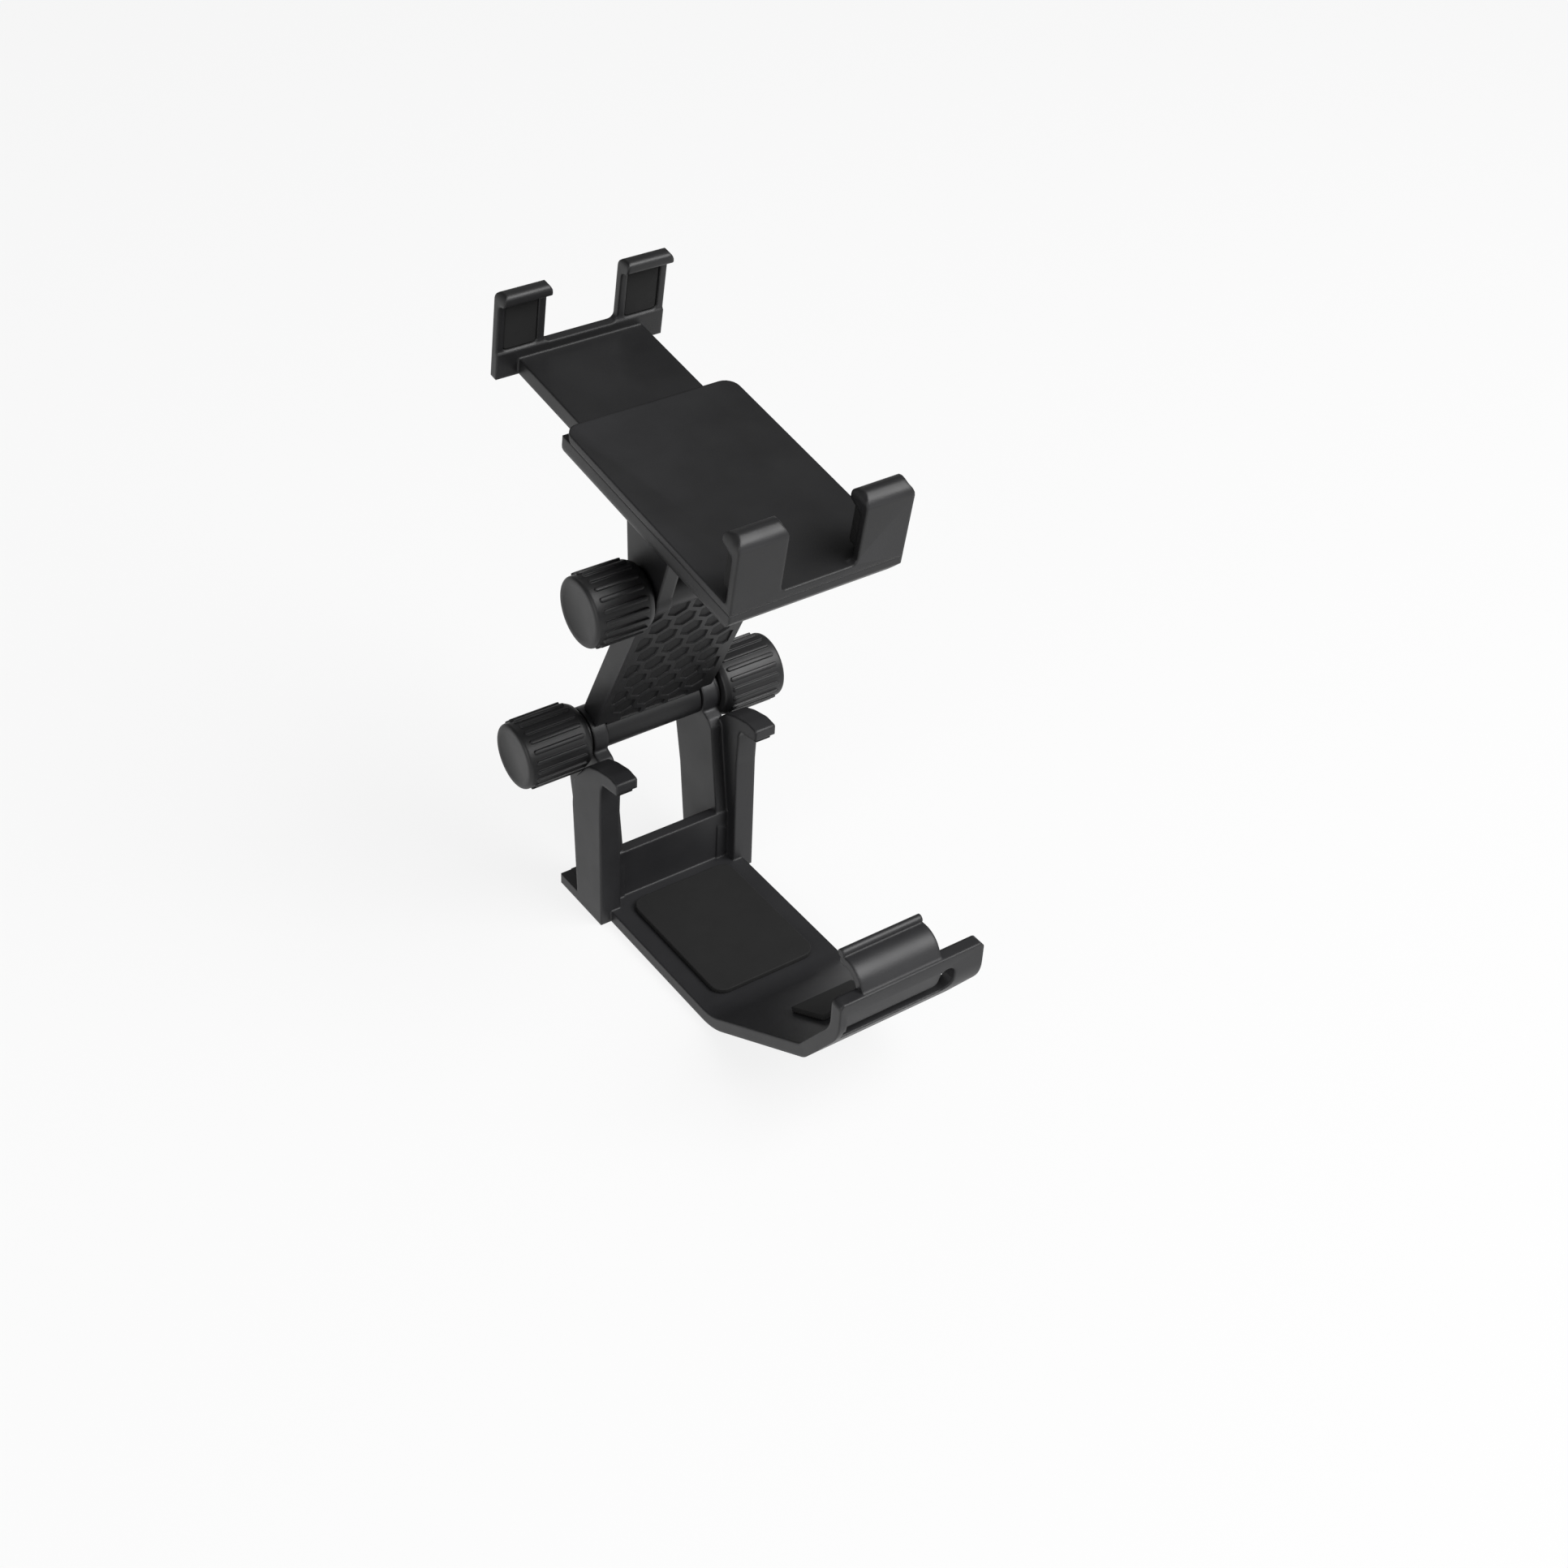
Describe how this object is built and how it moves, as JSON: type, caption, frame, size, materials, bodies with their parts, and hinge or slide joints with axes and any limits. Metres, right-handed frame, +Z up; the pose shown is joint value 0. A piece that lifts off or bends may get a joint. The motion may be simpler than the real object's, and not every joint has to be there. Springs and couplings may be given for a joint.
{
  "type": "controller phone clip",
  "caption": "Folding clip with a cradle that snaps round a game pad, a tilting honeycomb arm and a spring-closed phone clamp.",
  "frame": {"origin": "on the flat underside of the cradle's floor, on the middle plane and directly below the lower hinge axis", "axes": "+X to the user's right along both hinge axes, +Y away from the user, +Z up"},
  "size_m": [0.0634, 0.1216, 0.1329],
  "materials": {
    "plastic": "fine matte moulded grain",
    "rubber": "matte",
    "steel": "satin zinc plated",
    "brass": "satin"
  },
  "bodies": {
    "base": {"base_cradle": "plastic", "floor_pad": "rubber", "front_pad": "rubber", "claw_pad_left": "rubber", "claw_pad_right": "rubber", "lower_bolt": "steel", "lower_washer_left": "steel", "lower_washer_right": "steel"},
    "knob_low_left": {"lower_knob_left": "plastic", "lower_insert_left": "brass"},
    "knob_low_right": {"lower_knob_right": "plastic", "lower_insert_right": "brass"},
    "arm": {"arm": "plastic", "arm_cover": "plastic", "arm_screws": "steel"},
    "clamp": {"clamp_seat": "plastic", "clamp_shell": "plastic", "clamp_screws": "steel", "front_grip_left": "rubber", "front_grip_right": "rubber", "upper_bolt": "steel", "upper_washer_left": "steel", "upper_washer_right": "steel", "spring_left": "steel", "spring_right": "steel"},
    "knob_up_left": {"upper_knob_left": "plastic", "upper_insert_left": "brass"},
    "knob_up_right": {"upper_knob_right": "plastic", "upper_insert_right": "brass"},
    "jaw": {"sliding_jaw": "plastic", "back_grip_left": "rubber", "back_grip_right": "rubber"}
  },
  "joints": [
    {"name": "arm_tilt", "type": "hinge", "parent": "base", "child": "arm", "pos_m": [0, 0, 0.041], "axis": [1, 0, 0], "range_deg": [-60, 30]},
    {"name": "clamp_tilt", "type": "hinge", "parent": "arm", "child": "clamp", "pos_m": [0, -0.02261, 0.08949], "axis": [1, 0, 0], "range_deg": [-45, 35]},
    {"name": "jaw_slide", "type": "slide", "parent": "clamp", "child": "jaw", "axis": [0, 0.9903, 0.1392], "range_m": [-0.022, 0.01], "deforming": ["spring_left", "spring_right"]},
    {"name": "lower_left_turn", "type": "hinge", "parent": "base", "child": "knob_low_left", "pos_m": [0, 0, 0.041], "axis": [1, 0, 0], "range_deg": [-360, 0]},
    {"name": "lower_right_turn", "type": "hinge", "parent": "base", "child": "knob_low_right", "pos_m": [0, 0, 0.041], "axis": [1, 0, 0], "range_deg": [0, 360]},
    {"name": "upper_left_turn", "type": "hinge", "parent": "clamp", "child": "knob_up_left", "pos_m": [0, -0.02261, 0.08949], "axis": [1, 0, 0], "range_deg": [-360, 0]},
    {"name": "upper_right_turn", "type": "hinge", "parent": "clamp", "child": "knob_up_right", "pos_m": [0, -0.02261, 0.08949], "axis": [1, 0, 0], "range_deg": [0, 360]}
  ]
}
